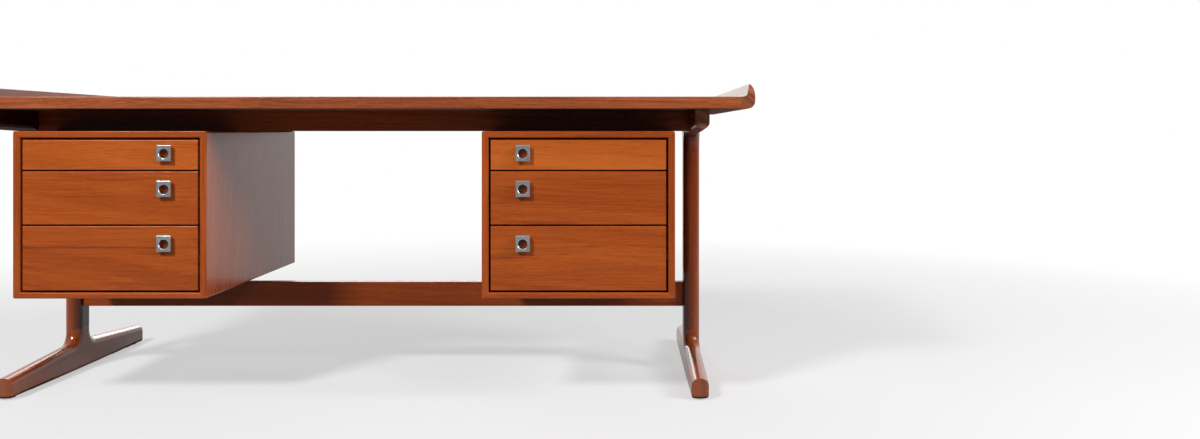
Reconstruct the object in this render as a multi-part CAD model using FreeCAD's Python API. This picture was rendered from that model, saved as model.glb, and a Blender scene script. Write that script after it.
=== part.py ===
import FreeCAD, Part
import math
import os

from FreeCAD import Vector

# Twin pedestal writing desk in teak, with pale wood inside the drawers, in millimetres. +X is to
# the right of the person who sits at it, the drawers open towards -Y, and the origin is on the
# floor under the middle of the top. The right-hand half is modelled and mirrored.

# Top: a panel with a strip along the front and rear edges
desk_length = 1920.0
desk_depth = 920.0
top_height = 730.0
top_thickness = 28.0
strip_depth = 12.0
strip_round = 2.0
tongue_thickness = 8.0
tongue_length = 10.0
tongue_stop = 20.0

# Raised, flared lip along each end of the top
lip_width = 32.0
lip_rise = 30.0
lip_crest = 3.3
lip_crest_inset = 9.4
lip_crest_round = 1.5
lip_lean = 7.3
lip_cove = 10.0
lip_belly = 14.0
lip_flare = 55.0
lip_heel = 18.0
lip_end_round = 25.0

# Leg frames: a foot, a post and an arm, rounded over as one sculpted form
leg_overhang = 118.5
post_width = 44.0
post_depth = 68.0
round_over = 20.0
fullest_round = 0.48
neck_length = 6.0
tenon_thickness = 16.0
tenon_width = 40.0
tenon_length = 45.0
foot_setback = 108.0
foot_end_width = 42.0
foot_end_height = 50.0
foot_centre_height = 72.0
foot_cove = 30.0
foot_under_round = 9.0
arm_setback = 42.5
arm_end_width = 34.0
arm_end_height = 46.0
arm_centre_height = 62.0
arm_cove = 40.0
nose_fullness = 1.6
nose_spare = 5.0
glide_radius = 11.0
glide_height = 3.0
glide_inset = 35.0
glide_stem_radius = 3.0
glide_stem_length = 12.0

# Rails under the top, and the stretcher between the posts
rail_height = 52.0
rail_thickness = 25.0
rail_inset = 20.0
rail_tenon_height = 30.0
rail_tenon_thickness = 12.0
rail_tenon_length = 20.0
stretcher_bottom = 172.0
stretcher_height = 66.0
stretcher_thickness = 28.0
stretcher_round = 2.0
stretcher_tenon_height = 46.0
stretcher_tenon_thickness = 14.0
stretcher_tenon_length = 20.0

# Bolts through the posts into barrel nuts in the stretcher
bolt_radius = 4.0
bolt_length = 90.0
bolt_head_radius = 8.0
bolt_head_height = 4.0
bolt_head_sink = 5.0
bolt_counterbore_radius = 8.5
nut_radius = 7.0
nut_length = 24.0
nut_setback = 40.0

# Wood screws that hold the top and the pedestals
screw_radius = 2.5
screw_shank = 37.0
screw_head_radius = 5.0
screw_head_height = 3.0
screw_counterbore_radius = 6.0
screw_bite_in_top = 17.0
arm_screw_inset = 117.5
rail_screw_spacing = 200.0
case_screw_inset = 60.0
hole_clearance = 0.1

# Pedestal case
case_gap = 42.5
case_width = 454.0
case_front_setback = 40.0
case_rear_setback = 210.0
case_clearance = 19.0
case_panel = 16.0
case_floor = 14.0
case_corner = 4.0
case_edge_round = 1.5
case_bevel = 2.5
case_back_thickness = 8.0
case_back_inset = 10.0
case_back_groove = 5.0

# Drawers
drawer_recess = 3.0
drawer_side_gap = 4.6
drawer_top_gap = 4.5
drawer_between_gap = 3.5
drawer_bottom_gap = 4.5
drawer_rear_gap = 69.0
top_front_height = 70.6
middle_front_share = 0.452
front_thickness = 20.0
front_round = 1.5
side_thickness = 12.0
side_rise = 6.0
side_drop = 10.0
dovetail_lap = 7.0
tail_pitch = 29.0
tail_share = 0.7
tail_slope = 1.0 / 6.0
bottom_thickness = 5.0
bottom_groove = 6.0
bottom_rise = 8.0
drawer_back_thickness = 10.0
drawer_back_dado = 4.0
drawer_back_inset = 10.0
drawer_back_drop = 4.0

# Drawer runners, housed in the case sides and running in grooves of the drawer sides
runner_height = 15.0
runner_housing = 3.0
runner_groove = 6.0
runner_setback = 12.0
runner_rear_gap = 12.0
runner_play = 0.3
runner_side_play = 0.5

# Plate pulls on two standoffs, with a finger hole
pull_width = 33.0
pull_height = 37.4
pull_thickness = 6.0
pull_round = 1.0
pull_inset = 76.5
pull_hole_radius = 11.3
pull_hole_drop = 1.2
pull_hole_chamfer = 1.0
pull_standoff = 6.0
pull_post_radius = 4.0
pull_post_spacing = 22.0
pull_post_rise = 13.5
pull_margin_top_drawer = 11.9
pull_margin_lower_drawers = 21.5
pull_screw_radius = 2.0
pull_screw_bite = 4.5
pull_screw_head_radius = 4.0
pull_screw_head_height = 2.8
pull_screw_tip_room = 0.5

# Places worked out from the sizes above
lip_joint = desk_length / 2 - lip_width
lip_top = top_height + lip_rise
top_under = top_height - top_thickness
front_edge = -desk_depth / 2
panel_half_depth = desk_depth / 2 - strip_depth

leg_centre = desk_length / 2 - leg_overhang
post_inner = leg_centre - post_width / 2
post_outer = leg_centre + post_width / 2
foot_length = desk_depth - 2 * foot_setback
arm_length = desk_depth - 2 * arm_setback
foot_joint = glide_height + foot_centre_height + foot_cove + neck_length
arm_joint = top_under - arm_centre_height - arm_cove - neck_length
straight_run = post_depth / 2 + max(foot_cove, arm_cove)
foot_round = min(round_over, fullest_round * foot_end_width)
arm_round = min(round_over, fullest_round * arm_end_width)

case_front = front_edge + case_front_setback
case_rear = -front_edge - case_rear_setback
case_outer = post_inner - case_gap
case_inner = case_outer - case_width
stretcher_top = stretcher_bottom + stretcher_height
case_bottom = stretcher_top + case_clearance
case_top = top_under - rail_height
rail_centre = case_rear - rail_inset - rail_thickness / 2
case_back_front = case_rear - case_back_inset - case_back_thickness
stretcher_middle = stretcher_bottom + stretcher_height / 2
counterbore_depth = max(rail_height, arm_centre_height)

opening_inner = case_inner + case_panel
opening_outer = case_outer - case_panel
opening_bottom = case_bottom + case_floor
opening_top = case_top - case_panel

front_inner = opening_inner + drawer_side_gap
front_outer = opening_outer - drawer_side_gap
front_face = case_front + drawer_recess
front_back = front_face + front_thickness
tail_tip = front_face + dovetail_lap
drawer_rear = case_back_front - drawer_rear_gap
groove_front = front_back + runner_setback
runner_front = groove_front + runner_play
runner_rear = case_back_front - runner_rear_gap

top_front_low = opening_top - drawer_top_gap - top_front_height
bottom_front_low = opening_bottom + drawer_bottom_gap
lower_fronts_height = top_front_low - bottom_front_low - 2 * drawer_between_gap
middle_front_height = middle_front_share * lower_fronts_height
middle_front_low = top_front_low - drawer_between_gap - middle_front_height
drawers = {
    "top": (top_front_low, top_front_low + top_front_height, pull_margin_top_drawer),
    "middle": (middle_front_low, middle_front_low + middle_front_height, pull_margin_lower_drawers),
    "bottom": (bottom_front_low, middle_front_low - drawer_between_gap, pull_margin_lower_drawers),
}

up = Vector(0, 0, 1)
touching = 0.01
fullest_side = 0.98


def block(x_low, x_high, y_low, y_high, z_low, z_high):
    corner = Vector(x_low, y_low, z_low)
    return Part.makeBox(x_high - x_low, y_high - y_low, z_high - z_low, corner)


def rod(radius, start, end):
    along = end - start
    return Part.makeCylinder(radius, along.Length, start, along)


def mirrored(shape):
    return shape.mirror(Vector(0, 0, 0), Vector(1, 0, 0))


def front_to_rear(shape):
    return shape.mirror(Vector(0, 0, 0), Vector(0, 1, 0))


def on_both_sides(shapes):
    return shapes + [mirrored(shape) for shape in shapes]


# A corner's reach is how far its rounding runs along its two sides. Two corners that would
# meet on a side share it.
def corner_reaches(corners):
    points = [point for point, radius in corners]
    count = len(points)
    reaches = []
    for index, (point, radius) in enumerate(corners):
        back = points[index - 1] - point
        ahead = points[(index + 1) % count] - point
        reaches.append(radius / math.tan(back.getAngle(ahead) / 2))
    limits = [1.0] * count
    for index in range(count):
        after = (index + 1) % count
        side = (points[after] - points[index]).Length
        wanted = reaches[index] + reaches[after]
        if wanted > side:
            share = fullest_side * side / wanted
            limits[index] = min(limits[index], share)
            limits[after] = min(limits[after], share)
    return [reach * limit for reach, limit in zip(reaches, limits)]


# A closed outline through (point, radius) corners, each rounded by its radius
def rounded_outline(corners):
    points = [point for point, radius in corners]
    reaches = corner_reaches(corners)
    count = len(points)
    edges = []
    for index, point in enumerate(points):
        after = (index + 1) % count
        to_back = (points[index - 1] - point).normalize()
        to_ahead = (points[after] - point).normalize()
        start = point + to_back * reaches[index]
        end = point + to_ahead * reaches[index]
        if reaches[index] > 0:
            half = to_back.getAngle(to_ahead) / 2
            radius = reaches[index] * math.tan(half)
            inwards = (to_back + to_ahead).normalize()
            middle = point + inwards * (radius / math.sin(half) - radius)
            edges.append(Part.Arc(start, middle, end).toShape())
        next_start = points[after] - to_ahead * reaches[after]
        edges.append(Part.LineSegment(end, next_start).toShape())
    return Part.Wire(edges)


def prism(corners, along):
    return Part.Face(rounded_outline(corners)).extrude(along)


def sharp(points):
    return [(point, 0.0) for point in points]


def edges_in_plane(shape, axis, place):
    chosen = []
    for edge in shape.Edges:
        if all(abs(vertex.Point.dot(axis) - place) < touching for vertex in edge.Vertexes):
            chosen.append(edge)
    return chosen


def tongue():
    middle = top_height - top_thickness / 2
    half_length = panel_half_depth - tongue_stop
    half_thickness = tongue_thickness / 2
    return block(lip_joint - tongue_length, lip_joint, -half_length, half_length,
                 middle - half_thickness, middle + half_thickness)


def end_lip():
    crest_outer = lip_width - lip_crest_inset
    crest_inner = crest_outer - lip_crest
    cove_foot = crest_inner - lip_lean

    def at(outwards, height):
        return Vector(lip_joint + outwards, front_edge, height)

    section = [
        (at(0, top_under), 0),
        (at(0, top_height), 0),
        (at(cove_foot, top_height), lip_cove),
        (at(crest_inner, lip_top), lip_crest_round),
        (at(crest_outer, lip_top), lip_crest_round),
        (at(lip_width, top_height + lip_belly), lip_flare),
        (at(lip_width, top_under), lip_heel),
    ]
    side_view = [
        (Vector(lip_joint, front_edge, top_under), 0),
        (Vector(lip_joint, -front_edge, top_under), 0),
        (Vector(lip_joint, -front_edge, lip_top), lip_end_round),
        (Vector(lip_joint, front_edge, lip_top), lip_end_round),
    ]
    bar = prism(section, Vector(0, desk_depth, 0))
    bar = bar.common(prism(side_view, Vector(lip_width, 0, 0)))
    return bar.fuse(tongue()).removeSplitter()


def top_panel():
    panel = block(-lip_joint, lip_joint, -panel_half_depth, panel_half_depth, top_under, top_height)
    screw_holes = [wood_screw_hole(seat) for seat in top_screw_seats()]
    return panel.cut(on_both_sides([tongue()]) + screw_holes)


def edge_strip():
    strip = block(-lip_joint, lip_joint, front_edge, -panel_half_depth, top_under, top_height)
    outer_edges = []
    for edge in edges_in_plane(strip, Vector(0, 1, 0), front_edge):
        if edge.Length > top_thickness + touching:
            outer_edges.append(edge)
    return strip.makeFillet(strip_round, outer_edges)


# Plan of a foot or arm: parallel about the post, then drawn in along an arc to each end
def tapered_plan(length, end_width):
    half_width = post_width / 2
    half_end = end_width / 2
    drawn_in = half_width - half_end
    run = length / 2 - straight_run
    radius = (drawn_in ** 2 + run ** 2) / (2 * drawn_in)
    half_turn = math.asin(run / radius) / 2
    arc_x = half_width - radius * (1 - math.cos(half_turn))
    arc_y = straight_run + radius * math.sin(half_turn)
    corner = [(half_width, straight_run), (arc_x, arc_y), (half_end, length / 2)]
    rear_right, rear_left, front_left, front_right = [
        [Vector(x * x_sign, y * y_sign, 0) for x, y in corner]
        for x_sign, y_sign in ((1, 1), (-1, 1), (-1, -1), (1, -1))
    ]
    edges = [
        Part.LineSegment(front_right[0], rear_right[0]),
        Part.Arc(*rear_right),
        Part.LineSegment(rear_right[2], rear_left[2]),
        Part.Arc(*reversed(rear_left)),
        Part.LineSegment(rear_left[0], front_left[0]),
        Part.Arc(*front_left),
        Part.LineSegment(front_left[2], front_right[2]),
        Part.Arc(*reversed(front_right)),
    ]
    return Part.Face(Part.Wire([edge.toShape() for edge in edges]))


# What is cut away to round each end of a foot or arm in plan, over its whole height
def nose_cutters(length, end_width, height):
    radius = nose_fullness * end_width / 2
    cutters = []
    for end in (-1, 1):
        centre = Vector(0, end * (length / 2 - radius), 0)
        beyond = end * (length / 2 + nose_spare)
        waste = block(-post_width, post_width, min(centre.y, beyond), max(centre.y, beyond), 0, height)
        cutters.append(waste.cut(rod(radius, centre, centre + up * height)))
    return cutters


# A foot or arm along Y, with its flat face at z = 0 and its neck for the post upwards
def sculpted_bar(length, end_width, end_height, centre_height, cove, rounding):
    half_blank = length / 2 + nose_spare
    half_neck = post_depth / 2
    neck_end = centre_height + cove + neck_length

    def at(along, height):
        return Vector(-post_width / 2, along, height)

    side_view = [
        (at(-half_blank, 0), 0),
        (at(half_blank, 0), 0),
        (at(half_blank, end_height), 0),
        (at(half_neck, centre_height), cove),
        (at(half_neck, neck_end), 0),
        (at(-half_neck, neck_end), 0),
        (at(-half_neck, centre_height), cove),
        (at(-half_blank, end_height), 0),
    ]
    plan = tapered_plan(2 * half_blank, end_width).extrude(up * neck_end)
    bar = prism(side_view, Vector(post_width, 0, 0)).common(plan)

    long_edges = []
    for edge in bar.Edges:
        middle = edge.CenterOfMass
        at_an_end = abs(abs(middle.y) - half_blank) < touching
        at_the_plan_seam = abs(abs(middle.y) - straight_run) < touching
        on_a_flat = middle.z < touching or middle.z > neck_end - touching
        across = abs(middle.x) < touching
        if not (at_an_end or at_the_plan_seam or on_a_flat or across):
            long_edges.append(edge)
    bar = bar.makeFillet(rounding, long_edges)
    return bar.cut(nose_cutters(length, end_width, neck_end))


def plain_foot():
    bar = sculpted_bar(foot_length, foot_end_width, foot_end_height, foot_centre_height,
                       foot_cove, foot_round)
    bar = bar.makeFillet(foot_under_round, edges_in_plane(bar, up, 0))
    return bar.translated(Vector(leg_centre, 0, glide_height))


def plain_arm():
    bar = sculpted_bar(arm_length, arm_end_width, arm_end_height, arm_centre_height,
                       arm_cove, arm_round)
    upside_down = bar.mirror(Vector(0, 0, 0), up)
    return upside_down.translated(Vector(leg_centre, 0, top_under))


def post_tenon(z_low, z_high):
    return block(leg_centre - tenon_thickness / 2, leg_centre + tenon_thickness / 2,
                 -tenon_width / 2, tenon_width / 2, z_low, z_high)


def lower_tenon():
    return post_tenon(foot_joint - tenon_length, foot_joint)


def upper_tenon():
    return post_tenon(arm_joint, arm_joint + tenon_length)


def foot():
    stems = [glide_stem(place) for place in glide_places()]
    return plain_foot().cut([lower_tenon()] + stems)


def arm():
    holes = [wood_screw_hole(seat) for seat in arm_screw_seats()]
    rail_tenons = [rail_tenon(), front_to_rear(rail_tenon())]
    return plain_arm().cut([upper_tenon()] + rail_tenons + holes)


def post_section(height, rounding):
    half_depth = post_depth / 2
    return rounded_outline([
        (Vector(post_inner, -half_depth, height), rounding),
        (Vector(post_outer, -half_depth, height), rounding),
        (Vector(post_outer, half_depth, height), rounding),
        (Vector(post_inner, half_depth, height), rounding),
    ])


# Its corners go over from the rounding of the foot to that of the arm
def post():
    ends = [post_section(foot_joint, foot_round), post_section(arm_joint, arm_round)]
    shaft = Part.makeLoft(ends, True, True)
    shaft = shaft.fuse([lower_tenon(), upper_tenon()]).removeSplitter()
    return shaft.cut([stretcher_tenon(), bolt_hole()])


def glide_places():
    reach = foot_length / 2 - glide_inset
    return [Vector(leg_centre, -reach, glide_height), Vector(leg_centre, reach, glide_height)]


def glide_stem(place):
    return rod(glide_stem_radius, place, place + up * glide_stem_length)


def glide(place):
    disc = rod(glide_radius, place - up * glide_height, place)
    return disc.fuse(glide_stem(place)).removeSplitter()


# The rail over the rear of the pedestals. The front rail is its mirror image.
def rail_tenon():
    middle = top_under - rail_height / 2
    return block(leg_centre - post_width, post_inner + rail_tenon_length,
                 rail_centre - rail_tenon_thickness / 2, rail_centre + rail_tenon_thickness / 2,
                 middle - rail_tenon_height / 2, middle + rail_tenon_height / 2)


# Its ends are scribed to the rounded arms
def rail():
    bar = block(-leg_centre, leg_centre, rail_centre - rail_thickness / 2,
                rail_centre + rail_thickness / 2, case_top, top_under)
    bar = bar.cut(on_both_sides([plain_arm()]))
    bar = bar.fuse(on_both_sides([rail_tenon()])).removeSplitter()
    seats = rail_screw_seats() + opposite(case_screw_seats())
    return bar.cut([wood_screw_hole(seat) for seat in seats])


def stretcher_tenon():
    half_thickness = stretcher_tenon_thickness / 2
    half_height = stretcher_tenon_height / 2
    return block(post_inner, post_inner + stretcher_tenon_length, -half_thickness, half_thickness,
                 stretcher_middle - half_height, stretcher_middle + half_height)


def stretcher():
    half_thickness = stretcher_thickness / 2
    bar = block(-post_inner, post_inner, -half_thickness, half_thickness, stretcher_bottom, stretcher_top)
    long_edges = [edge for edge in bar.Edges if edge.Length > post_inner]
    bar = bar.makeFillet(stretcher_round, long_edges)
    bar = bar.fuse(on_both_sides([stretcher_tenon()])).removeSplitter()
    return bar.cut(on_both_sides([bolt_hole(), nut_hole()]))


def bolt_seat():
    return Vector(post_outer - bolt_head_sink, 0, stretcher_middle)


def bolt():
    seat = bolt_seat()
    head = rod(bolt_head_radius, seat, seat + Vector(bolt_head_height, 0, 0))
    shank = rod(bolt_radius, seat - Vector(bolt_length, 0, 0), seat)
    return head.fuse(shank).removeSplitter()


def bolt_hole():
    seat = bolt_seat()
    shank = rod(bolt_radius + hole_clearance, seat - Vector(bolt_length, 0, 0), seat)
    counterbore = rod(bolt_counterbore_radius, seat, seat + Vector(bolt_head_sink, 0, 0))
    return shank.fuse(counterbore)


def nut_axis(y):
    return Vector(post_inner - nut_setback, y, stretcher_middle)


def barrel_nut():
    nut = rod(nut_radius, nut_axis(-nut_length / 2), nut_axis(nut_length / 2))
    return nut.cut(bolt_hole())


# Bored from the rear face of the stretcher
def nut_hole():
    return rod(nut_radius + hole_clearance, nut_axis(-nut_length / 2), nut_axis(stretcher_thickness / 2))


# All the wood screws point up, and a seat is the place under the screw's head
def wood_screw(seat):
    head = rod(screw_head_radius, seat - up * screw_head_height, seat)
    shank = rod(screw_radius, seat, seat + up * screw_shank)
    return head.fuse(shank).removeSplitter()


def wood_screw_hole(seat):
    shank = rod(screw_radius + hole_clearance, seat, seat + up * screw_shank)
    counterbore = rod(screw_counterbore_radius, seat - up * counterbore_depth, seat)
    return shank.fuse(counterbore)


def arm_screw_seats():
    height = top_under + screw_bite_in_top - screw_shank
    reach = arm_length / 2 - arm_screw_inset
    return [Vector(leg_centre, -reach, height), Vector(leg_centre, reach, height)]


def rail_screw_seats():
    height = top_under + screw_bite_in_top - screw_shank
    places = (-rail_screw_spacing, 0, rail_screw_spacing)
    return [Vector(x, y, height) for y in (-rail_centre, rail_centre) for x in places]


def opposite(seats):
    return seats + [Vector(-seat.x, seat.y, seat.z) for seat in seats]


def top_screw_seats():
    return opposite(arm_screw_seats()) + rail_screw_seats()


# The pedestals hang from the rails
def case_screw_seats():
    height = opening_top + screw_head_height
    nearest = case_inner + case_screw_inset
    farthest = case_outer - case_screw_inset
    places = (nearest, (nearest + farthest) / 2, farthest)
    return [Vector(x, y, height) for y in (-rail_centre, rail_centre) for x in places]


# The four panels of a case meet in mitres, and their front is bevelled round the drawers
def case_ring():
    corners = [
        (Vector(case_inner, case_front, case_bottom), case_corner),
        (Vector(case_outer, case_front, case_bottom), case_corner),
        (Vector(case_outer, case_front, case_top), case_corner),
        (Vector(case_inner, case_front, case_top), case_corner),
    ]
    ring = prism(corners, Vector(0, case_rear - case_front, 0))
    depth = Vector(0, 1, 0)
    rims = edges_in_plane(ring, depth, case_front) + edges_in_plane(ring, depth, case_rear)
    ring = ring.makeFillet(case_edge_round, rims)
    opening = block(opening_inner, opening_outer, case_front, case_rear, opening_bottom, opening_top)
    ring = ring.cut([opening, case_back()])
    mouth = []
    for edge in edges_in_plane(ring, depth, case_front):
        middle = edge.CenterOfMass
        across = opening_inner - touching < middle.x < opening_outer + touching
        if across and opening_bottom - touching < middle.z < opening_top + touching:
            mouth.append(edge)
    return ring.makeChamfer(case_bevel, mouth)


def case_back():
    return block(opening_inner - case_back_groove, opening_outer + case_back_groove,
                 case_back_front, case_back_front + case_back_thickness,
                 opening_bottom - case_back_groove, opening_top + case_back_groove)


def case_panel_between(outer_start, outer_end, inner_end, inner_start):
    places = (outer_start, outer_end, inner_end, inner_start)
    corners = sharp([Vector(x, case_front, z) for x, z in places])
    return case_ring().common(prism(corners, Vector(0, case_rear - case_front, 0)))


def case_panels():
    outer_low_left = (case_inner, case_bottom)
    outer_low_right = (case_outer, case_bottom)
    outer_high_right = (case_outer, case_top)
    outer_high_left = (case_inner, case_top)
    low_left = (opening_inner, opening_bottom)
    low_right = (opening_outer, opening_bottom)
    high_right = (opening_outer, opening_top)
    high_left = (opening_inner, opening_top)
    top = case_panel_between(outer_high_left, outer_high_right, high_right, high_left)
    bottom = case_panel_between(outer_low_left, outer_low_right, low_right, low_left)
    inner_side = case_panel_between(outer_low_left, outer_high_left, high_left, low_left)
    outer_side = case_panel_between(outer_low_right, outer_high_right, high_right, low_right)
    return {
        "case_top": top.cut([wood_screw_hole(seat) for seat in case_screw_seats()]),
        "case_bottom": bottom,
        "case_inner_side": inner_side.cut(runners()),
        "case_outer_side": outer_side.cut(runners()),
        "case_back": case_back(),
    }


def side_heights(front_low, front_high):
    return front_low + side_rise, front_high - side_drop


def runners():
    bars = []
    reach = drawer_side_gap + runner_groove - runner_side_play
    for front_low, front_high, pull_margin in drawers.values():
        low = sum(side_heights(front_low, front_high)) / 2 - runner_height / 2
        high = low + runner_height
        inner_x = (opening_inner - runner_housing, opening_inner + reach)
        outer_x = (opening_outer - reach, opening_outer + runner_housing)
        for x_low, x_high in (inner_x, outer_x):
            bars.append(block(x_low, x_high, runner_front, runner_rear, low, high))
    return bars


# Dovetails on the front end of a drawer side, half blind in the drawer front
def tails(x_low, x_high, front_low, front_high):
    low, high = side_heights(front_low, front_high)
    count = max(1, round((high - low) / tail_pitch))
    pitch = (high - low) / count
    half_tip = pitch * tail_share / 2
    half_root = half_tip - (front_back - tail_tip) * tail_slope
    pieces = []
    for number in range(count):
        middle = low + pitch * (number + 0.5)
        corners = sharp([
            Vector(x_low, front_back, middle - half_root),
            Vector(x_low, front_back, middle + half_root),
            Vector(x_low, tail_tip, middle + half_tip),
            Vector(x_low, tail_tip, middle - half_tip),
        ])
        pieces.append(prism(corners, Vector(x_high - x_low, 0, 0)))
    return pieces


def side_spans():
    return (front_inner, front_inner + side_thickness), (front_outer - side_thickness, front_outer)


def drawer_front(front_low, front_high, pull_margin):
    board = block(front_inner, front_outer, front_face, front_back, front_low, front_high)
    board = board.makeFillet(front_round, edges_in_plane(board, Vector(0, 1, 0), front_face))
    cuts = [drawer_bottom(front_low, front_high)]
    for x_low, x_high in side_spans():
        cuts += tails(x_low, x_high, front_low, front_high)
    for place in pull_post_places(front_high - pull_margin):
        cuts.append(rod(pull_screw_radius + hole_clearance, place, place + Vector(0, front_thickness, 0)))
    return board.cut(cuts)


def drawer_side(x_low, x_high, front_low, front_high):
    low, high = side_heights(front_low, front_high)
    board = block(x_low, x_high, front_back, drawer_rear, low, high)
    return board.fuse(tails(x_low, x_high, front_low, front_high)).removeSplitter()


def runner_grooves(front_low, front_high):
    middle = sum(side_heights(front_low, front_high)) / 2
    half_height = runner_height / 2 + runner_play
    low = middle - half_height
    high = middle + half_height
    inner = block(front_inner, front_inner + runner_groove, groove_front, drawer_rear, low, high)
    outer = block(front_outer - runner_groove, front_outer, groove_front, drawer_rear, low, high)
    return [inner, outer]


# The bottom slides in under the drawer back, in grooves of the sides and the front
def drawer_bottom(front_low, front_high):
    side_low, side_high = side_heights(front_low, front_high)
    low = side_low + bottom_rise
    inset = side_thickness - bottom_groove
    return block(front_inner + inset, front_outer - inset, front_back - bottom_groove,
                 drawer_rear - drawer_back_inset, low, low + bottom_thickness)


def drawer_back(front_low, front_high):
    side_low, side_high = side_heights(front_low, front_high)
    inset = side_thickness - drawer_back_dado
    rear = drawer_rear - drawer_back_inset
    return block(front_inner + inset, front_outer - inset, rear - drawer_back_thickness, rear,
                 side_low + bottom_rise + bottom_thickness, side_high - drawer_back_drop)


def drawer_carcass(front_low, front_high):
    back = drawer_back(front_low, front_high)
    cuts = [back, drawer_bottom(front_low, front_high)] + runner_grooves(front_low, front_high)
    sides = [drawer_side(x_low, x_high, front_low, front_high).cut(cuts) for x_low, x_high in side_spans()]
    return Part.makeCompound(sides + [back])


# Where the axes of a pull's two standoffs meet the drawer front
def pull_post_places(plate_top):
    middle_x = front_inner + pull_inset
    height = plate_top - pull_height / 2 + pull_post_rise
    half_spacing = pull_post_spacing / 2
    return [Vector(middle_x + x, front_face, height) for x in (-half_spacing, half_spacing)]


def pull(plate_top):
    middle_x = front_inner + pull_inset
    middle_z = plate_top - pull_height / 2
    plate_back = front_face - pull_standoff
    plate_front = plate_back - pull_thickness
    plate = block(middle_x - pull_width / 2, middle_x + pull_width / 2, plate_front, plate_back,
                  middle_z - pull_height / 2, middle_z + pull_height / 2)
    plate = plate.makeFillet(pull_round, plate.Edges)

    backwards = Vector(0, 1, 0)
    hole_start = Vector(middle_x, plate_front, middle_z - pull_hole_drop)
    hole = rod(pull_hole_radius, hole_start, hole_start + backwards * pull_thickness)
    chamfer = Part.makeCone(pull_hole_radius + pull_hole_chamfer, pull_hole_radius, pull_hole_chamfer,
                            hole_start, backwards)
    plate = plate.cut([hole, chamfer])

    posts = []
    for place in pull_post_places(plate_top):
        threaded = pull_screw_bite + pull_screw_tip_room
        thread = rod(pull_screw_radius + hole_clearance, place - backwards * threaded, place)
        posts.append(rod(pull_post_radius, place - backwards * pull_standoff, place).cut(thread))
    return plate.fuse(posts).removeSplitter()


def pull_screws(plate_top):
    inwards = Vector(0, 1, 0)
    screws = []
    for place in pull_post_places(plate_top):
        seat = place + inwards * front_thickness
        shank = rod(pull_screw_radius, place - inwards * pull_screw_bite, seat)
        head = rod(pull_screw_head_radius, seat, seat + inwards * pull_screw_head_height)
        screws.append(shank.fuse(head).removeSplitter())
    return Part.makeCompound(screws)


def right_hand_pieces():
    pieces = {"end_lip": end_lip(), "arm": arm(), "post": post(), "foot": foot()}
    pieces.update(case_panels())
    pieces["runners"] = Part.makeCompound(runners())
    for name, (front_low, front_high, pull_margin) in drawers.items():
        plate_top = front_high - pull_margin
        pieces[name + "_drawer_front"] = drawer_front(front_low, front_high, pull_margin)
        pieces[name + "_drawer_carcass"] = drawer_carcass(front_low, front_high)
        pieces[name + "_drawer_bottom"] = drawer_bottom(front_low, front_high)
        pieces[name + "_drawer_pull"] = pull(plate_top)
        pieces[name + "_drawer_pull_screws"] = pull_screws(plate_top)
    return pieces


def shared_pieces():
    strip = edge_strip()
    rear_rail = rail()
    case_screws = [wood_screw(seat) for seat in case_screw_seats()]
    return {
        "top_panel": top_panel(),
        "top_edge_strips": Part.makeCompound([strip, front_to_rear(strip)]),
        "front_rail": front_to_rear(rear_rail),
        "rear_rail": rear_rail,
        "stretcher": stretcher(),
        "foot_glides": Part.makeCompound(on_both_sides([glide(place) for place in glide_places()])),
        "top_screws": Part.makeCompound([wood_screw(seat) for seat in top_screw_seats()]),
        "pedestal_screws": Part.makeCompound(on_both_sides(case_screws)),
        "stretcher_bolts": Part.makeCompound(on_both_sides([bolt()])),
        "barrel_nuts": Part.makeCompound(on_both_sides([barrel_nut()])),
    }


def main():
    os.makedirs("parts", exist_ok=True)
    pieces = shared_pieces()
    for name, shape in right_hand_pieces().items():
        pieces["right_" + name] = shape
        pieces["left_" + name] = mirrored(shape)
    for name, shape in pieces.items():
        shape.exportStep("parts/" + name + ".step")
    print(len(pieces), "pieces")


main()
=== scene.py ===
import bpy
import math
from mathutils import Euler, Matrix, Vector


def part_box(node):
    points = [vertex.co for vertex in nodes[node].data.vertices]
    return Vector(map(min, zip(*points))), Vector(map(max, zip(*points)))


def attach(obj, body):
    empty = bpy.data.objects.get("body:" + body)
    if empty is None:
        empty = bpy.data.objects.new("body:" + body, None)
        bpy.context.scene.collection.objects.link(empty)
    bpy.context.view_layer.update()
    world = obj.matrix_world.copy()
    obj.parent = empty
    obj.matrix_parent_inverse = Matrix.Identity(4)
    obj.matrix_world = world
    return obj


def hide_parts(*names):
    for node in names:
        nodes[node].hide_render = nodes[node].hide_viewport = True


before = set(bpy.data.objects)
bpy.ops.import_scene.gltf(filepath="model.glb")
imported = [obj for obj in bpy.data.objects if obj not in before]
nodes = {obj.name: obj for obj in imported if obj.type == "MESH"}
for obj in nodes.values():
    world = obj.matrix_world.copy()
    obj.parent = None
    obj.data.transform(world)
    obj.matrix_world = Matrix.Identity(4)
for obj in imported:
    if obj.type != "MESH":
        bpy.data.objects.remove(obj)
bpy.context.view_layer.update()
sides = ("right", "left")
levels = ("top", "middle", "bottom")
scene = bpy.context.scene
scene.view_settings.view_transform = "Standard"
print("frame loaded with", len(nodes), "nodes")


# camera, level and square to the drawer fronts
cameraView = {
    "place": (0.650, -2.885, 0.652),
    "lens": 31.52,
    "shift": (-0.0175, -0.0743),
}
bpy.ops.object.camera_add(location=cameraView["place"], rotation=(math.pi / 2, 0, 0))
camera = bpy.context.object
camera.name = "camera"
camera.data.lens = cameraView["lens"]
camera.data.shift_x, camera.data.shift_y = cameraView["shift"]
scene.camera = camera
print("camera placed")


# small helpers for places and node trees
def middleOf(nodeName):
    low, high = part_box(nodeName)
    return (low + high) / 2


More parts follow.
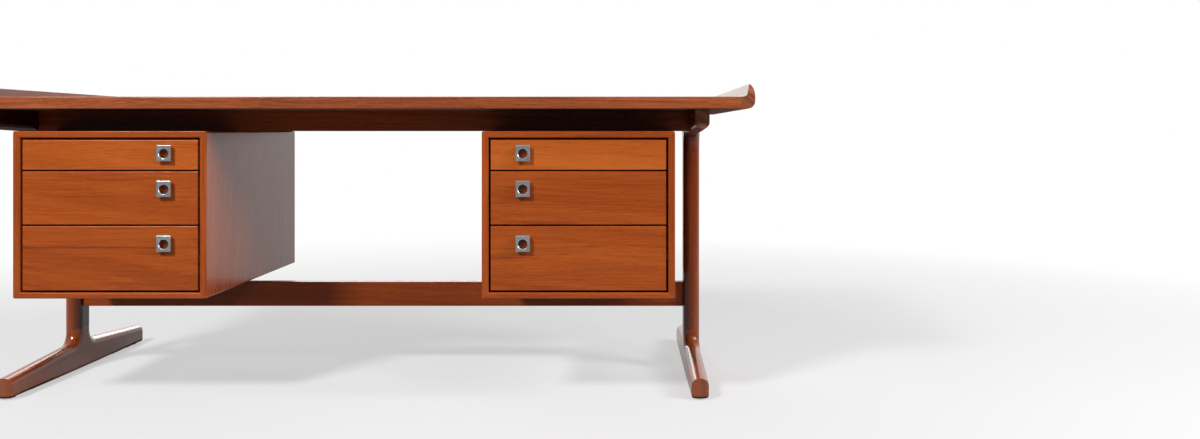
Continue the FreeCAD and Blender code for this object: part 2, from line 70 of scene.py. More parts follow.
def put(tree, kind, settings=None, inputs=None):
    node = tree.nodes.new(kind)
    for name, value in (settings or {}).items():
        setattr(node, name, value)
    for name, value in (inputs or {}).items():
        if isinstance(value, bpy.types.NodeSocket):
            tree.links.new(value, node.inputs[name])
        else:
            node.inputs[name].default_value = value
    return node


def calc(tree, operation, first, second=0.0, third=0.0):
    node = put(tree, "ShaderNodeMath", {"operation": operation}, {0: first, 1: second, 2: third})
    return node.outputs[0]


def vectorCalc(tree, operation, first, second=(0, 0, 0)):
    node = put(tree, "ShaderNodeVectorMath", {"operation": operation}, {0: first, 1: second})
    return node.outputs["Value" if operation in ("LENGTH", "DOT_PRODUCT") else "Vector"]


def split(tree, vector):
    return put(tree, "ShaderNodeSeparateXYZ", None, {0: vector}).outputs


def remap(tree, value, fromRange, toRange):
    node = put(tree, "ShaderNodeMapRange", {"clamp": True}, {
        "Value": value,
        "From Min": fromRange[0],
        "From Max": fromRange[1],
        "To Min": toRange[0],
        "To Max": toRange[1],
    })
    return node.outputs["Result"]


def stretchedNoise(tree, vector, stretch, detail, roughness=0.5):
    noise = put(tree, "ShaderNodeTexNoise", None, {
        "Vector": vectorCalc(tree, "MULTIPLY", vector, stretch),
        "Scale": 1.0,
        "Detail": detail,
        "Roughness": roughness,
    })
    return noise.outputs[0]


def mixValue(tree, amount, first, second):
    return put(tree, "ShaderNodeMix", None, {0: amount, 2: first, 3: second}).outputs[0]


def mixColour(tree, amount, first, second):
    if not isinstance(second, bpy.types.NodeSocket):
        second = (*second, 1)
    node = put(tree, "ShaderNodeMix", {"data_type": "RGBA"}, {0: amount, 6: first, 7: second})
    return node.outputs[2]


def colourRamp(tree, value, stops):
    node = put(tree, "ShaderNodeValToRGB", None, {0: value})
    ramp = node.color_ramp
    while len(ramp.elements) < len(stops):
        ramp.elements.new(0.5)
    for element, (position, colour) in zip(ramp.elements, stops):
        element.position = position
        element.color = (*colour, 1)
    return node.outputs[0]


def softEdge(tree, radius, samples=4):
    return put(tree, "ShaderNodeBevel", {"samples": samples}, {"Radius": radius}).outputs[0]


def bumpNormal(tree, strength, distance, height, normal):
    bump = put(tree, "ShaderNodeBump", None, {
        "Strength": strength,
        "Distance": distance,
        "Height": height,
        "Normal": normal,
    })
    return bump.outputs[0]


def plug(tree, node, **sockets):
    for name, value in sockets.items():
        tree.links.new(value, node.inputs[name.replace("_", " ")])


def newMaterial(name):
    material = bpy.data.materials.new(name)
    material.use_nodes = True
    tree = material.node_tree
    tree.nodes.clear()
    shader = put(tree, "ShaderNodeBsdfPrincipled")
    put(tree, "ShaderNodeOutputMaterial", None, {"Surface": shader.outputs[0]})
    return material, tree, shader


def dress(piece, material):
    piece.data.materials.clear()
    piece.data.materials.append(material)


# world: white for the camera, dim behind it for reflections, low soft fill
worldLight = {
    "fill": 0.075, "behindCamera": 0.19, "ahead": 1.15, "ceiling": 0.85,
    "turnAhead": (-0.35, 0.55), "turnUp": (0.35, 0.8),
}
world = bpy.data.worlds.new("paleStudio")
scene.world = world
world.use_nodes = True
tree = world.node_tree
tree.nodes.clear()
rays = put(tree, "ShaderNodeLightPath").outputs
heading = split(tree, put(tree, "ShaderNodeTexCoord").outputs["Generated"])
dim = worldLight["behindCamera"]
mirrored = remap(tree, heading["Y"], worldLight["turnAhead"], (dim, worldLight["ahead"]))
mirroredUp = remap(tree, heading["Z"], worldLight["turnUp"], (dim, worldLight["ceiling"]))
mirrored = calc(tree, "MAXIMUM", mirrored, mirroredUp)
glossPart = mixValue(tree, rays["Is Glossy Ray"], worldLight["fill"], mirrored)
clearRays = calc(tree, "MAXIMUM", rays["Is Camera Ray"], rays["Is Transmission Ray"])
strength = mixValue(tree, clearRays, glossPart, 1.0)
background = put(tree, "ShaderNodeBackground", None, {"Color": (1, 1, 1, 1), "Strength": strength})
put(tree, "ShaderNodeOutputWorld", None, {"Surface": background.outputs[0]})


# two soft lamps high in front, the left one stronger, a broad one to the right and a weak one behind
lamps = {
    "frontLeft": {"place": (-2.10, -3.62, 3.62), "aim": (0.45, -0.42, 0.50), "size": 0.8, "power": 250},
    "frontRight": {"place": (3.00, -3.62, 3.62), "aim": (0.45, -0.42, 0.50), "size": 0.8, "power": 45},
    "right": {"place": (3.75, -1.55, 2.30), "aim": (0.84, 0.0, 0.40), "size": 1.2, "power": 112},
    "behind": {"place": (-1.2, 4.2, 2.6), "aim": (0.0, 0.2, 0.4), "size": 2.5, "power": 105},
}
for name, lamp in lamps.items():
    bpy.ops.object.light_add(type="AREA", location=lamp["place"])
    light = bpy.context.object
    light.name = name
    light.data.size = lamp["size"]
    light.data.energy = lamp["power"]
    shine = Vector(lamp["aim"]) - Vector(lamp["place"])
    light.rotation_euler = shine.to_track_quat("-Z", "Y").to_euler()
print("world and lamps set")


# pale floor that fades to white away from the desk
noiseSpan = (0.3, 0.7)  # where nearly all values of a noise lie
floorLook = {
    "size": 60.0, "seen": (0.61, 0.63), "mottle": (1.5, 1.5, 1.5), "mottleDetail": 3.0, "bounced": 0.24,
    "glow": 0.50, "fade": (1.5, 3.6), "dimAhead": (-1.2, 0.4), "rough": 0.9, "gloss": 0.1,
}
bpy.ops.mesh.primitive_plane_add(size=floorLook["size"], location=(0, 0, 0))
floor = bpy.context.object
floor.name = "floor"
material, tree, shader = newMaterial("palePaper")
coords = put(tree, "ShaderNodeTexCoord").outputs["Object"]
rays = put(tree, "ShaderNodeLightPath").outputs
ahead = remap(tree, split(tree, coords)["Y"], floorLook["dimAhead"], (0.0, 1.0))
mirroredFloor = calc(tree, "MULTIPLY", rays["Is Glossy Ray"], ahead)
seen = calc(tree, "MAXIMUM", rays["Is Camera Ray"], rays["Is Transmission Ray"])
seen = calc(tree, "MAXIMUM", seen, mirroredFloor)
mottle = stretchedNoise(tree, coords, floorLook["mottle"], floorLook["mottleDetail"])
paper = remap(tree, mottle, noiseSpan, floorLook["seen"])
plug(tree, shader, Base_Color=mixValue(tree, seen, floorLook["bounced"], paper))
shader.inputs["Roughness"].default_value = floorLook["rough"]
shader.inputs["Specular IOR Level"].default_value = floorLook["gloss"]
fade = remap(tree, vectorCalc(tree, "LENGTH", coords), floorLook["fade"], (floorLook["glow"], 1.0))
fade = calc(tree, "MULTIPLY", fade, seen)
white = put(tree, "ShaderNodeEmission", None, {"Color": (1, 1, 1, 1), "Strength": 1.0})
fading = put(tree, "ShaderNodeMixShader", None, {0: fade, 1: shader.outputs[0], 2: white.outputs[0]})
plug(tree, tree.nodes["Material Output"], Surface=fading.outputs[0])
dress(floor, material)
print("floor laid")


# wood: growth rings round a pith beside the board, fibres, dark streaks and pores, all along the grain
grainTurns = {"x": (0, 0, 0), "y": (0, 0, -math.pi / 2), "z": (0, math.pi / 2, 0)}
grainAxes = {"x": (1, 0, 0), "y": (0, 1, 0), "z": (0, 0, 1)}
grainLayers = {  # noises stretched along the grain
    "fibre": {"stretch": (4.0, 300.0, 300.0), "detail": 3.0, "roughness": 0.6},
    "fleck": {"stretch": (55.0, 430.0, 430.0), "detail": 2.0, "roughness": 0.6},
    "pore": {"stretch": (26.0, 1150.0, 1150.0), "detail": 1.0},
    "tone": {"stretch": (0.9, 7.0, 7.0), "detail": 2.0},
    "streak": {"stretch": (1.3, 120.0, 120.0), "detail": 2.0},
}
grainForm = {
    "bend": {"stretch": (1.6, 2.0, 2.0), "detail": 1.0},
    "warp": {"stretch": (1.1, 6.0, 6.0), "detail": 2.0},
    "trunk": (0.02, 1, 1),  # the rings stay nearly the same along the trunk
    "ring": {"Detail": 3.0, "Roughness": 0.62},
    "wideRing": {"Detail": 1.0},
    "wideScale": 0.17,
    "shares": {"rings": 0.20, "wideRings": 0.18, "fibre": 0.20, "fleck": 0.18, "tone": 0.24},
    "toneStops": (0.41, 0.50, 0.59),
    "streakSpan": (0.60, 0.72), "poreSpan": (0.60, 0.74), "wornTurn": (0.98, 0.80), "endTurn": (0.55, 0.9),
    "endStops": {0.36: 0.62, 0.64: 1.38},  # the end's tone is darker and lighter by ring
    "poreDepth": -0.6, "reliefHeight": 0.0006, "lacquer": 1.5,
}
gluedBoard = {"along": 5.37, "turn": 2.4, "sway": 0.04}


# boards glued side by side, each cut from another place
def gluedBoards(tree, vector, width):
    place = split(tree, vector)
    count = calc(tree, "FLOOR", calc(tree, "DIVIDE", place["Y"], width))
    inBoard = calc(tree, "SUBTRACT", place["Y"], calc(tree, "MULTIPLY", count, width))
    along = calc(tree, "MULTIPLY_ADD", count, gluedBoard["along"], place["X"])
    sway = calc(tree, "SINE", calc(tree, "MULTIPLY", count, gluedBoard["turn"]))
    across = calc(tree, "MULTIPLY_ADD", sway, gluedBoard["sway"], inBoard)
    return put(tree, "ShaderNodeCombineXYZ", None, {0: along, 1: across, 2: place["Z"]}).outputs[0]


# the place in the trunk, with x along the grain and a slight bend
def grainPlace(tree, coords, look, grain, centre, slide):
    turn = grainTurns[grain]
    mapped = put(tree, "ShaderNodeMapping", None, {
        "Vector": coords,
        "Location": Vector((slide, 0, 0)) - Euler(turn).to_matrix() @ centre,
        "Rotation": turn,
    }).outputs[0]
    if look["stave"]:
        mapped = gluedBoards(tree, mapped, look["stave"])
    bend = calc(tree, "SUBTRACT", stretchedNoise(tree, mapped, **grainForm["bend"]), 0.5)
    bend = calc(tree, "MULTIPLY", bend, look["bend"])
    bendVector = put(tree, "ShaderNodeCombineXYZ", None, {1: bend, 2: bend})
    return vectorCalc(tree, "ADD", mapped, bendVector.outputs[0])


def ringNoise(tree, place, scale, form):
    inputs = {"W": place, "Scale": scale, **form}
    return put(tree, "ShaderNodeTexNoise", {"noise_dimensions": "1D"}, inputs).outputs[0]


def growthRings(tree, place, look):
    warp = stretchedNoise(tree, place, **grainForm["warp"])
    fromPith = vectorCalc(tree, "SUBTRACT", place, (0, *look["pith"]))
    radius = vectorCalc(tree, "LENGTH", vectorCalc(tree, "MULTIPLY", fromPith, grainForm["trunk"]))
    radius = calc(tree, "MULTIPLY_ADD", warp, look["warp"], radius)
    rings = ringNoise(tree, radius, look["rings"], grainForm["ring"])
    wideRings = ringNoise(tree, radius, look["rings"] * grainForm["wideScale"], grainForm["wideRing"])
    return rings, wideRings


def woodMaterial(name, look, grain, centre, slide):
    material, tree, shader = newMaterial(name)
    coords = put(tree, "ShaderNodeTexCoord").outputs["Object"]
    place = grainPlace(tree, coords, look, grain, centre, slide)
    layers = {layer: stretchedNoise(tree, place, **form) for layer, form in grainLayers.items()}
    layers["rings"], layers["wideRings"] = growthRings(tree, place, look)

    figure = 0.0
    for layer, share in grainForm["shares"].items():
        figure = calc(tree, "MULTIPLY_ADD", layers[layer], share, figure)
    tones = (look["dark"], look["mid"], look["light"])
    colour = colourRamp(tree, figure, list(zip(grainForm["toneStops"], tones)))
    streaks = remap(tree, layers["streak"], grainForm["streakSpan"], (0.0, look["streak"]))
    streaks = calc(tree, "MULTIPLY", streaks, layers["wideRings"])
    colour = mixColour(tree, streaks, colour, look["deep"])
    pores = remap(tree, layers["pore"], grainForm["poreSpan"], (0.0, look["pore"]))
    colour = mixColour(tree, pores, colour, look["deep"])

    if "innerShade" in look:  # painted shade: darker on the side towards the middle of the desk, which the case shades
        outwards = calc(tree, "ABSOLUTE", split(tree, coords)["X"])
        outwards = calc(tree, "SUBTRACT", outwards, abs(centre.x))
        innerShade = remap(tree, outwards, look["innerShadeReach"], (look["innerShade"], 0.0))
        colour = mixColour(tree, innerShade, colour, look["innerShadeTone"])
    if "fingerHole" in look:  # painted shade: darker behind the hole of the pull, where the plate shades the front
        away = vectorCalc(tree, "SUBTRACT", coords, look["fingerHole"])
        away = vectorCalc(tree, "LENGTH", vectorCalc(tree, "MULTIPLY", away, (1, 0, 1)))
        holeShade = remap(tree, away, look["holeShadeReach"], (look["holeShade"], 0.0))
        colour = mixColour(tree, holeShade, colour, look["deep"])

    soft = softEdge(tree, look["edge"])
    normal = put(tree, "ShaderNodeNewGeometry").outputs["Normal"]
    turned = vectorCalc(tree, "DOT_PRODUCT", soft, normal)
    worn = remap(tree, turned, grainForm["wornTurn"], (0.0, look["wear"]))
    colour = mixColour(tree, worn, colour, look["light"])

    endFacing = calc(tree, "ABSOLUTE", vectorCalc(tree, "DOT_PRODUCT", normal, grainAxes[grain]))
    endGrain = remap(tree, endFacing, grainForm["endTurn"], (0.0, look["endGrain"]))
    if "endReach" in look:  # only at the tips, not on the neck
        fromMiddle = calc(tree, "ABSOLUTE", vectorCalc(tree, "DOT_PRODUCT", coords, grainAxes[grain]))
        atTip = remap(tree, fromMiddle, look["endReach"], (0.0, 1.0))
        endGrain = calc(tree, "MULTIPLY", endGrain, atTip)
    endStops = grainForm["endStops"].items()
    endTones = [(stop, [channel * share for channel in look["end"]]) for stop, share in endStops]
    colour = mixColour(tree, endGrain, colour, colourRamp(tree, layers["rings"], endTones))

    upwards = split(tree, normal)["Z"]
    bareShaded = remap(tree, upwards, look["bareShadedTurn"], (0.0, look["bareShadedUnder"]))  # no lacquer below, so rougher, and painted shade: the colour darkens towards deep on faces turned down
    colour = mixColour(tree, bareShaded, colour, look["deep"])
    rough = calc(tree, "ADD", remap(tree, layers["fibre"], noiseSpan, look["rough"]), bareShaded)
    rough = calc(tree, "MULTIPLY_ADD", endGrain, look["endRough"], rough)
    relief = calc(tree, "MULTIPLY_ADD", pores, grainForm["poreDepth"], layers["fibre"])
    bump = bumpNormal(tree, look["relief"], grainForm["reliefHeight"], relief, soft)
    plug(tree, shader, Base_Color=colour, Roughness=rough, Normal=bump)
    shader.inputs["IOR"].default_value = grainForm["lacquer"]
    shader.inputs["Specular IOR Level"].default_value = look["gloss"]
    return material


# what a wood has unless it says otherwise: colours are linear, lengths in metres, rings per metre
anyWood = {
    "warp": 0.008, "bend": 0.04, "stave": 0.0, "streak": 0.9, "pore": 0.45,
    # faces turned down are rougher and carry painted shade
    "edge": 0.0012, "wear": 0.2, "relief": 0.12, "bareShadedUnder": 0.6, "bareShadedTurn": (-0.6, -0.9),
    "end": (0.205, 0.058, 0.024), "endGrain": 0.75, "endRough": 0.1,
}
woods = {
    "topTeak": {
        "dark": (0.190, 0.040, 0.010), "mid": (0.265, 0.061, 0.015), "light": (0.330, 0.083, 0.022),
        "deep": (0.085, 0.017, 0.005), "rough": (0.22, 0.31), "gloss": 0.45,
        "rings": 190, "pith": (0.31, 0.14), "bend": 0.05, "wear": 0.25,
    },
    "legTeak": {
        "dark": (0.200, 0.036, 0.007), "mid": (0.265, 0.051, 0.010), "light": (0.330, 0.071, 0.016),
        "deep": (0.090, 0.017, 0.004), "rough": (0.16, 0.23), "gloss": 0.45,
        "rings": 150, "pith": (0.17, -0.21), "relief": 0.05,
        "end": (0.205, 0.058, 0.020), "endGrain": 0.7, "endRough": 0.0,
    },
    "railTeak": {
        "dark": (0.170, 0.028, 0.004), "mid": (0.225, 0.041, 0.006), "light": (0.280, 0.056, 0.010),
        "deep": (0.080, 0.014, 0.003), "rough": (0.26, 0.35), "gloss": 0.25,
        "rings": 150, "pith": (0.10, -0.22), "pore": 0.4,
    },
    "caseTeak": {
        "dark": (0.270, 0.044, 0.004), "mid": (0.350, 0.062, 0.007), "light": (0.420, 0.082, 0.011),
        "deep": (0.120, 0.020, 0.003), "rough": (0.24, 0.33), "gloss": 0.35,
        "rings": 190, "pith": (0.30, 0.13), "bend": 0.05, "pore": 0.4, "edge": 0.0010, "wear": 0.25,
    },
    "frontTeak": {
        "dark": (0.265, 0.044, 0.004), "mid": (0.345, 0.064, 0.007), "light": (0.415, 0.084, 0.010),
        "deep": (0.110, 0.018, 0.003), "rough": (0.24, 0.33), "gloss": 0.35,
        "rings": 210, "pith": (0.13, -0.37), "warp": 0.007, "bend": 0.06, "streak": 1.0, "edge": 0.0010,
    },
    "innerBeech": {
        "dark": (0.475, 0.270, 0.130), "mid": (0.560, 0.340, 0.175), "light": (0.630, 0.405, 0.225),
        "deep": (0.330, 0.165, 0.075), "rough": (0.46, 0.58), "gloss": 0.4,
        "rings": 110, "pith": (0.12, 0.16), "warp": 0.010, "streak": 0.25, "pore": 0.35, "edge": 0.0008,
        "wear": 0.1, "relief": 0.14, "bareShadedUnder": 0.1, "end": (0.360, 0.190, 0.090), "endGrain": 0.6,
    },
    "bottomBirch": {
        "dark": (0.520, 0.340, 0.185), "mid": (0.610, 0.425, 0.250), "light": (0.670, 0.490, 0.310),
        "deep": (0.400, 0.230, 0.115), "rough": (0.48, 0.60), "gloss": 0.4,
        "rings": 45, "pith": (0.05, 0.09), "warp": 0.030, "bend": 0.06, "streak": 0.2, "pore": 0.25,
        "edge": 0.0006, "wear": 0.1, "bareShadedUnder": 0.1, "end": (0.420, 0.260, 0.140), "endGrain": 0.6,
    },
}

# which wood each node is cut from and which way its grain runs; changes are laid over the wood's own values
fixedBoards = {
    "top_panel": ("topTeak", "x", {"stave": 0.151}),
    "top_edge_strips": ("topTeak", "x", {
        "dark": (0.186, 0.040, 0.011), "mid": (0.298, 0.070, 0.020), "light": (0.410, 0.108, 0.034),
        "pith": (0.10, -0.18),
    }),
    "front_rail": ("railTeak", "x", {"mid": (0.295, 0.055, 0.006), "light": (0.355, 0.074, 0.010)}),
    "rear_rail": ("railTeak", "x", {}),
    "stretcher": ("railTeak", "x", {
        "dark": (0.190, 0.031, 0.004), "mid": (0.253, 0.044, 0.006), "light": (0.313, 0.060, 0.010),
    }),
}
# painted shade for the post and the arm: their side towards the middle of the desk darkens
paintedInnerShade = {"innerShade": 0.88, "innerShadeReach": (-0.020, 0.006), "innerShadeTone": (0.030, 0.006, 0.002)}
sideBoards = {
    "end_lip": ("topTeak", "y", {
        "pith": (0.16, -0.20), "rough": (0.12, 0.17), "relief": 0.03, "end": (0.222, 0.070, 0.034),
    }),
    # the arm's end colour is lighter and greyer than other end grain: a painted reflection in the top's
    # shade
    "arm": ("legTeak", "y", {**paintedInnerShade, "end": (0.270, 0.105, 0.060), "endReach": (0.33, 0.36)}),
    "post": ("legTeak", "z", {
        **paintedInnerShade,
        "dark": (0.190, 0.033, 0.006), "mid": (0.255, 0.046, 0.008), "light": (0.320, 0.066, 0.014),
    }),
    "foot": ("legTeak", "y", {
        # the foot's undersides take a stronger painted shade along the floor
        "pith": (0.26, -0.03), "bareShadedUnder": 0.95, "bareShadedTurn": (-0.12, -0.45), "endReach": (0.25, 0.28),
    }),
    "case_top": ("caseTeak", "x", {"stave": 0.143}),
    "case_bottom": ("caseTeak", "x", {"stave": 0.143}),
    "case_inner_side": ("caseTeak", "z", {"stave": 0.141}),
    "case_outer_side": ("caseTeak", "z", {
        "stave": 0.141, "mid": (0.280, 0.048, 0.005), "light": (0.350, 0.066, 0.008),
    }),
    "case_back": ("caseTeak", "x", {"pith": (0.12, -0.36)}),
    "runners": ("innerBeech", "y", {}),
}
# painted shade on the drawer front, seen through the hole of each pull
paintedHoleShade = {"holeShadeReach": (0.0095, 0.0150), "holeShade": 0.85}
holeDrop = 0.0012  # from the middle of a pull down to its hole
paleFront = {
    "dark": (0.340, 0.065, 0.007), "mid": (0.425, 0.088, 0.010), "light": (0.490, 0.112, 0.015),
    "streak": 0.5, "pith": (0.24, -0.31),
}
boardStep = 3.71  # how far along the trunk the next board is cut

boards = dict(fixedBoards)
for side in sides:
    for part, board in sideBoards.items():
        boards[f"{side}_{part}"] = board
    for level in levels:
        drawer = f"{side}_{level}_drawer"
        fingerHole = middleOf(drawer + "_pull") - Vector((0, 0, holeDrop))
        frontLook = {**(paleFront if level == "top" else {}), **paintedHoleShade, "fingerHole": fingerHole}
        boards[drawer + "_front"] = ("frontTeak", "x", frontLook)
        boards[drawer + "_carcass"] = ("innerBeech", "y", {})
        boards[drawer + "_bottom"] = ("bottomBirch", "x", {})
slide = 0.0
for nodeName, (woodName, grain, changes) in boards.items():
    slide += boardStep
    look = {**anyWood, **woods[woodName], **changes}
    dress(nodes[nodeName], woodMaterial(nodeName + "Wood", look, grain, middleOf(nodeName), slide))
print("wood on", len(boards), "nodes")


# brushed nickel for the pulls, zinc on the fasteners, moulded plastic for the glides
metalForm = {
    "brush": {"detail": 3.0, "roughness": 0.6}, "brushShare": 0.6,
    "cloud": {"stretch": (45.0, 45.0, 45.0), "detail": 2.0}, "cloudShare": 0.4,
    "toneStops": (0.32, 0.68), "reliefHeight": 0.0002,
}
finishes = {
    "brushedNickel": {
        "dark": (0.54, 0.63, 0.68), "light": (0.66, 0.73, 0.76), "rough": (0.27, 0.37),
        "brush": (30.0, 900.0, 1400.0), "relief": 0.18, "edge": 0.0005, "metal": 1.0,
    },
    "zincSteel": {
        "dark": (0.50, 0.47, 0.40), "light": (0.66, 0.63, 0.57), "rough": (0.28, 0.44),
        "brush": (600.0, 600.0, 600.0), "relief": 0.10, "edge": 0.0003, "metal": 1.0,
    },
    "glidePlastic": {
        "dark": (0.020, 0.017, 0.015), "light": (0.034, 0.029, 0.026), "rough": (0.42, 0.56),
        "brush": (900.0, 900.0, 900.0), "relief": 0.25, "edge": 0.0008, "metal": 0.0,
    },
}


def metalMaterial(name, look):
    material, tree, shader = newMaterial(name)
    coords = put(tree, "ShaderNodeTexCoord").outputs["Object"]
    brush = stretchedNoise(tree, coords, look["brush"], **metalForm["brush"])
    cloud = stretchedNoise(tree, coords, **metalForm["cloud"])
    tint = calc(tree, "MULTIPLY", brush, metalForm["brushShare"])
    tint = calc(tree, "MULTIPLY_ADD", cloud, metalForm["cloudShare"], tint)
    colour = colourRamp(tree, tint, list(zip(metalForm["toneStops"], (look["dark"], look["light"]))))
    rough = remap(tree, tint, noiseSpan, look["rough"])
    soft = softEdge(tree, look["edge"])
    bump = bumpNormal(tree, look["relief"], metalForm["reliefHeight"], brush, soft)
    plug(tree, shader, Base_Color=colour, Roughness=rough, Normal=bump)
    shader.inputs["Metallic"].default_value = look["metal"]
    return material


finishOf = {name: metalMaterial(name, look) for name, look in finishes.items()}
for nodeName, node in nodes.items():
    if nodeName.endswith("_pull"):
        dress(node, finishOf["brushedNickel"])
print("pulls dressed")


# fasteners with driver recesses and glides with rounded rims, turned on z and then set in their places
nearlyFlat = 0.9
sharpTurn = math.radians(50)
smoothTurn = math.radians(35)


def selectFaces(piece, wanted):
    bpy.ops.object.mode_set(mode="EDIT")
    bpy.ops.mesh.select_mode(type="FACE")
    bpy.ops.mesh.select_all(action="DESELECT")
    bpy.ops.object.mode_set(mode="OBJECT")
    for face in piece.data.polygons:
        face.select = wanted(face)
    bpy.ops.object.mode_set(mode="EDIT")


def applyModifier(piece, kind, **settings):
    modifier = piece.modifiers.new(kind.lower(), kind)
    for name, value in settings.items():
        setattr(modifier, name, value)
    bpy.context.view_layer.objects.active = piece
    bpy.ops.object.modifier_apply(modifier=modifier.name)


def roundRim(piece, look):
    applyModifier(piece, "BEVEL", width=look["rim"], segments=look["rimSteps"], limit_method="ANGLE",
                  angle_limit=sharpTurn)


def cutAway(piece, cutters):
    for cutter in cutters:
        applyModifier(piece, "BOOLEAN", operation="DIFFERENCE", object=cutter, solver="EXACT")
        bpy.data.objects.remove(cutter)


def hexCutter(look):
    bpy.ops.mesh.primitive_cylinder_add(vertices=6, radius=look["socket"], depth=2 * look["socketDepth"],
                                        location=(0, 0, -look["headHeight"]))
    return [bpy.context.object]


def crossCutter(look):
    cutters = []
    for turn in (math.pi / 4, 3 * math.pi / 4):
        bpy.ops.mesh.primitive_cube_add(size=1, location=(0, 0, -look["headHeight"]), rotation=(0, 0, turn))
        bpy.context.object.scale = (2 * look["socket"], look["socketWidth"], 2 * look["socketDepth"])
        bpy.ops.object.transform_apply(location=True, rotation=True, scale=True)
        cutters.append(bpy.context.object)
    return cutters


# head below z = 0 and shank above it, as the screws stand in the desk
def turnFastener(look, cutters):
    bpy.ops.mesh.primitive_cylinder_add(vertices=look["sides"], radius=look["headRadius"],
                                        depth=look["headHeight"], location=(0, 0, -look["headHeight"] / 2))
    piece = bpy.context.object
    bpy.ops.object.transform_apply(location=True, rotation=True, scale=True)
    selectFaces(piece, lambda face: face.normal.z > nearlyFlat)
    bpy.ops.mesh.inset(thickness=look["headRadius"] - look["shankRadius"])
    bpy.ops.mesh.extrude_region_move(TRANSFORM_OT_translate={"value": (0, 0, look["shank"] - look["tip"])})
    if look["tip"] > 0:
        bpy.ops.mesh.extrude_region_move(TRANSFORM_OT_translate={"value": (0, 0, look["tip"])})
        bpy.ops.transform.resize(value=(look["tipScale"], look["tipScale"], 1))
    bpy.ops.object.mode_set(mode="OBJECT")
    roundRim(piece, look)
    cutAway(piece, cutters(look))
    return piece


# copies of a turned piece, each with its own mesh, joined as the one piece that stands for a node
def setInPlaces(piece, places, turn, finish):
    copies = []
    for place in places:
        bpy.ops.object.select_all(action="DESELECT")
        piece.select_set(True)
        bpy.context.view_layer.objects.active = piece
        bpy.ops.object.duplicate(linked=False)
        copy = bpy.context.object
        copy.location = place
        copy.rotation_euler = turn if place[0] >= 0 else (turn[0], -turn[1], turn[2])
        bpy.ops.object.transform_apply(location=True, rotation=True, scale=True)
        copies.append(copy)
    bpy.ops.object.select_all(action="DESELECT")
    for copy in copies:
        copy.select_set(True)
    bpy.context.view_layer.objects.active = copies[0]
    bpy.ops.object.join()
    joined = bpy.context.object
    dress(joined, finishOf[finish])
    bpy.ops.object.shade_smooth_by_angle(angle=smoothTurn)
    return joined


def stand(piece, name, body, node):
    piece.name = name
    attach(piece, body)
    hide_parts(node)


# one place at either end of the stretcher, so far in from the node's own end
def eitherEnd(nodeName, inset):
    low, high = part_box(nodeName)
    reach = high.x - inset
    height = (low.z + high.z) / 2
    return [(reach, 0, height), (-reach, 0, height)]


stretcherBolt = {
    "headRadius": 0.008, "headHeight": 0.004, "shankRadius": 0.004, "shank": 0.090, "tip": 0.0,
    "sides": 48, "rim": 0.0006, "rimSteps": 3, "socket": 0.0029, "socketDepth": 0.0026,
}
bolt = turnFastener(stretcherBolt, hexCutter)
boltPlaces = eitherEnd("stretcher_bolts", stretcherBolt["headHeight"])
bolts = setInPlaces(bolt, boltPlaces, (0, -math.pi / 2, 0), "zincSteel")
stand(bolts, "stretcherBolts", "desk_frame", "stretcher_bolts")
bpy.data.objects.remove(bolt)

woodScrew = {
    "headRadius": 0.005, "headHeight": 0.003, "shankRadius": 0.0025, "shank": 0.037, "sides": 32,
    "tip": 0.006, "tipScale": 0.3, "rim": 0.0007, "rimSteps": 3,
    "socket": 0.0026, "socketWidth": 0.0011, "socketDepth": 0.0018,
    "armReach": 0.300, "railSpacing": 0.200,
}
screw = turnFastener(woodScrew, crossCutter)
armY = woodScrew["armReach"]
railY = middleOf("rear_rail").y
low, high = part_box("top_screws")
armX = high.x - woodScrew["headRadius"]
seat = low.z + woodScrew["headHeight"]
topPlaces = [(x, y, seat) for x in (-armX, armX) for y in (-armY, armY)]
for x in (-woodScrew["railSpacing"], 0, woodScrew["railSpacing"]):
    topPlaces += [(x, y, seat) for y in (-railY, railY)]
topScrews = setInPlaces(screw, topPlaces, (0, 0, 0), "zincSteel")
stand(topScrews, "topScrews", "desk_frame", "top_screws")

low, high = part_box("pedestal_screws")
seat = low.z + woodScrew["headHeight"]
caseX = middleOf("right_case_top").x
caseReach = high.x - woodScrew["headRadius"] - caseX
casePlaces = []
for x in (caseX - caseReach, caseX, caseX + caseReach):
    for towards in (1, -1):
        casePlaces += [(towards * x, y, seat) for y in (-railY, railY)]
caseScrews = setInPlaces(screw, casePlaces, (0, 0, 0), "zincSteel")
stand(caseScrews, "pedestalScrews", "desk_frame", "pedestal_screws")
bpy.data.objects.remove(screw)

pullScrew = {
    "headRadius": 0.004, "headHeight": 0.0028, "shankRadius": 0.002, "shank": 0.0245, "tip": 0.0,
    "sides": 32, "rim": 0.0011, "rimSteps": 3,
    "socket": 0.0022, "socketWidth": 0.0009, "socketDepth": 0.0015, "spacing": 0.022,
}
screw = turnFastener(pullScrew, crossCutter)
reach = pullScrew["spacing"] / 2
for side in sides:
    for level in levels:
        drawer = f"{side}_{level}_drawer"
        low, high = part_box(drawer + "_pull_screws")
        seat = high.y - pullScrew["headHeight"]
        middle = (low + high) / 2
        places = [(middle.x + x, seat, middle.z) for x in (-reach, reach)]
        screws = setInPlaces(screw, places, (math.pi / 2, 0, 0), "zincSteel")
        stand(screws, drawer + "PullScrews", drawer, drawer + "_pull_screws")
bpy.data.objects.remove(screw)
print("fasteners turned")


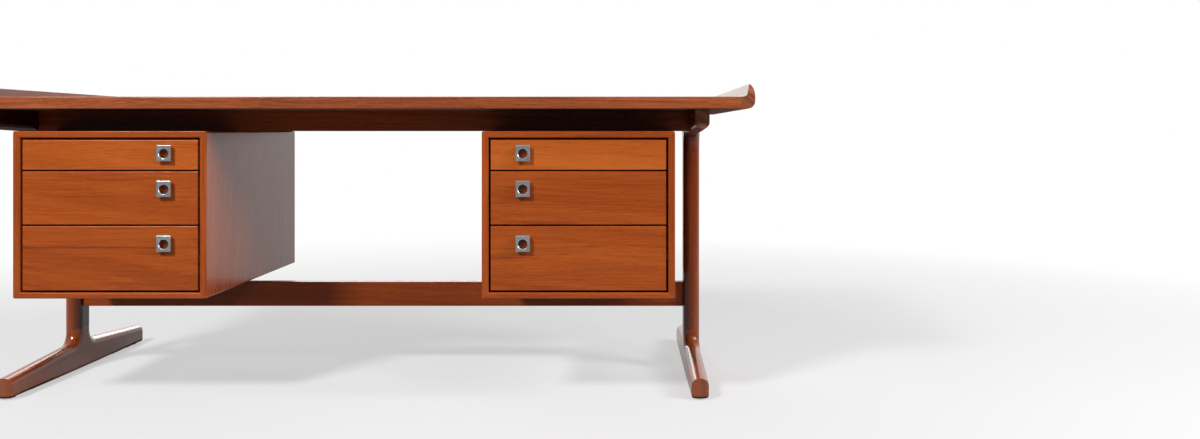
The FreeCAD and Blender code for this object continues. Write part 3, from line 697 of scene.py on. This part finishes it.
barrelNut = {
    "radius": 0.007, "length": 0.024, "sides": 40, "rim": 0.0008, "rimSteps": 2,
    "bore": 0.0041, "boreSides": 32, "slotWidth": 0.0016, "slotDepth": 0.0022,
}
bpy.ops.mesh.primitive_cylinder_add(vertices=barrelNut["sides"], radius=barrelNut["radius"],
                                    depth=barrelNut["length"])
nut = bpy.context.object
roundRim(nut, barrelNut)
rightThrough = 4 * barrelNut["radius"]
bpy.ops.mesh.primitive_cylinder_add(vertices=barrelNut["boreSides"], radius=barrelNut["bore"],
                                    depth=rightThrough, rotation=(0, math.pi / 2, 0))
boreCutter = bpy.context.object
bpy.ops.mesh.primitive_cube_add(size=1, location=(0, 0, -barrelNut["length"] / 2))
slotCutter = bpy.context.object
slotCutter.scale = (barrelNut["slotWidth"], rightThrough, 2 * barrelNut["slotDepth"])
cutAway(nut, [boreCutter, slotCutter])
nutPlaces = eitherEnd("barrel_nuts", barrelNut["radius"])
nuts = setInPlaces(nut, nutPlaces, (math.pi / 2, 0, 0), "zincSteel")
stand(nuts, "barrelNuts", "desk_frame", "barrel_nuts")
bpy.data.objects.remove(nut)
print("nuts cut")


footGlide = {
    "radius": 0.011, "height": 0.003, "sides": 48, "rim": 0.0012, "rimSteps": 4,
    "stem": 0.003, "stemLength": 0.012,
}
bpy.ops.mesh.primitive_cylinder_add(vertices=footGlide["sides"], radius=footGlide["radius"],
                                    depth=footGlide["height"], location=(0, 0, footGlide["height"] / 2))
glide = bpy.context.object
bpy.ops.object.transform_apply(location=True, rotation=True, scale=True)
selectFaces(glide, lambda face: face.normal.z < -nearlyFlat)
bpy.ops.mesh.bevel(offset=footGlide["rim"], segments=footGlide["rimSteps"], affect="EDGES")
bpy.ops.object.mode_set(mode="OBJECT")
selectFaces(glide, lambda face: face.normal.z > nearlyFlat)
bpy.ops.mesh.inset(thickness=footGlide["radius"] - footGlide["stem"])
bpy.ops.mesh.extrude_region_move(TRANSFORM_OT_translate={"value": (0, 0, footGlide["stemLength"])})
bpy.ops.object.mode_set(mode="OBJECT")
low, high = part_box("foot_glides")
glideX = high.x - footGlide["radius"]
glideY = high.y - footGlide["radius"]
glidePlaces = [(x, y, 0) for x in (glideX, -glideX) for y in (-glideY, glideY)]
glides = setInPlaces(glide, glidePlaces, (0, 0, 0), "glidePlastic")
stand(glides, "footGlides", "desk_frame", "foot_glides")
bpy.data.objects.remove(glide)
print("glides set")
